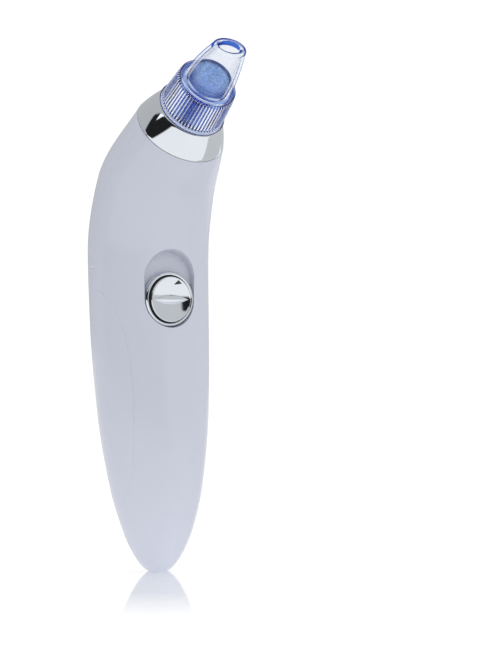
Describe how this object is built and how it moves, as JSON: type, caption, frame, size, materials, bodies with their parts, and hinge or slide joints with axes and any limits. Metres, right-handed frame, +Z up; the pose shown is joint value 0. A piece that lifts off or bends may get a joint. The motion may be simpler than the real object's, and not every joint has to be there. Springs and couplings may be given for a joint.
{
  "type": "blackhead vacuum extractor",
  "caption": "Curved hand-held pore vacuum with a pull-off clear suction tip, a chrome collar, a slide switch knob, a sliding battery cover and a diaphragm pump inside.",
  "frame": {"origin": "centre of the small flat on the underside of the foot", "axes": "+Z up along the standing body, -Y towards the front with the knob and the leaning tip, x = 0 the plane of symmetry of the casing"},
  "size_m": [0.041, 0.071, 0.1664],
  "materials": {
    "casing_plastic": "high gloss white moulded plastic",
    "chrome_trim": "mirror chrome plating",
    "clear_tip": "clear blue moulded plastic, polished",
    "nozzle_plastic": "blue tinted moulded plastic",
    "filter_foam": "open cell foam",
    "black_rubber": "soft matt rubber",
    "black_plastic": "fine matt moulding",
    "grey_plastic": "fine matt moulding",
    "plated_steel": "nickel plated",
    "screw_steel": "bright zinc",
    "board_laminate": "green solder mask",
    "cell_sleeve": "printed shrink sleeve over a metal can",
    "magnet_ferrite": "sintered ferrite",
    "motor_copper": "enamelled winding on a steel core",
    "silicone": "translucent silicone",
    "red_lead": "vinyl insulation",
    "black_lead": "vinyl insulation"
  },
  "bodies": {
    "casing": {"front_shell": "casing_plastic", "rear_shell": "casing_plastic", "chrome_collar": "chrome_trim", "nozzle": "nozzle_plastic", "nozzle_o_ring": "black_rubber", "nozzle_filter": "filter_foam", "battery_frame": "black_plastic", "motor_end_cap": "black_plastic", "pump_lid": "black_plastic", "pump_housing": "grey_plastic", "valve_plate": "grey_plastic", "switch_body": "plated_steel", "bridge_contact": "plated_steel", "plus_terminal": "plated_steel", "minus_terminal": "plated_steel", "bridge_spring": "plated_steel", "minus_spring": "plated_steel", "casing_screw_left": "screw_steel", "casing_screw_right": "screw_steel", "board_screw_left": "screw_steel", "board_screw_right": "screw_steel", "pump_screw_1": "screw_steel", "pump_screw_2": "screw_steel", "pump_screw_3": "screw_steel", "motor_can": "screw_steel", "circuit_board": "board_laminate", "battery_left": "cell_sleeve", "battery_right": "cell_sleeve", "motor_magnet": "magnet_ferrite", "diaphragm": "black_rubber", "suction_hose": "silicone", "plus_lead": "red_lead", "minus_lead": "black_lead", "motor_lead_red": "red_lead", "motor_lead_black": "black_lead"},
    "battery_cover": {"battery_cover": "casing_plastic"},
    "suction_tip": {"suction_tip": "clear_tip"},
    "slide_knob": {"slide_knob": "chrome_trim", "knob_carrier": "black_plastic", "switch_lever": "black_plastic"},
    "rotor": {"motor_rotor": "motor_copper", "pump_crank": "plated_steel"},
    "wobble_plate": {"wobble_plate": "grey_plastic"}
  },
  "joints": [
    {"name": "tip_pull", "type": "slide", "parent": "casing", "child": "suction_tip", "axis": [0, -0.8131, 0.5821], "range_m": [0, 0.03]},
    {"name": "knob_slide", "type": "slide", "parent": "casing", "child": "slide_knob", "axis": [0, 0, 1], "range_m": [0, 0.0055]},
    {"name": "cover_slide", "type": "slide", "parent": "casing", "child": "battery_cover", "axis": [0, 0, -1], "range_m": [0, 0.062]},
    {"name": "rotor_spin", "type": "hinge", "parent": "casing", "child": "rotor", "pos_m": [0, 0.0127, 0.0965], "axis": [0, -0.342, 0.9397], "continuous": true},
    {"name": "wobble_spin", "type": "hinge", "parent": "rotor", "child": "wobble_plate", "pos_m": [0, 0.00497, 0.11774], "axis": [0, -0.4384, 0.8988], "continuous": true}
  ],
  "couplings": [
    {"joint": "wobble_spin", "follows": "rotor_spin", "ratio": -1}
  ]
}
